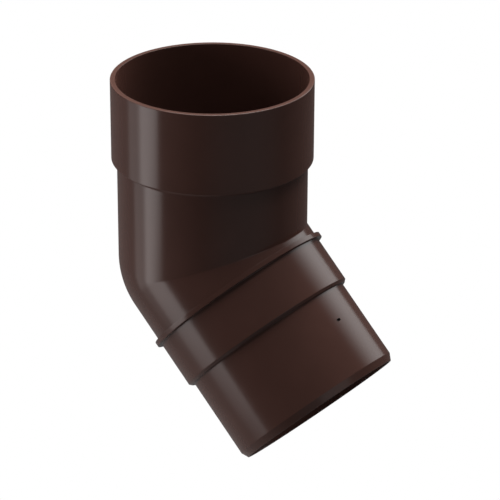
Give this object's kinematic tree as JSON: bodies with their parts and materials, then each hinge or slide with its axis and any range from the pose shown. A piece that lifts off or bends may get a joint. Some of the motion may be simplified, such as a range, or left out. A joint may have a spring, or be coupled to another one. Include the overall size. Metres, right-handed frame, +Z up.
{
  "type": "downspout elbow",
  "caption": "Round rainwater elbow: a socket above, a mitred 45 degree bend with a rounded heel, a stop ring and collar, and a chamfered spigot below.",
  "frame": {"origin": "centre of the ledge inside the socket, where the upper pipe stops", "axes": "+Z up along the socket; the bend lies in the XZ plane and the spigot leaves at 45 degrees, down and towards +X"},
  "size_m": [0.1283, 0.0868, 0.1657],
  "materials": {
    "pvc_brown": "smooth dark chocolate-brown moulded PVC with a satin gloss"
  },
  "bodies": {
    "root": {"elbow_body": "pvc_brown"}
  },
  "joints": []
}
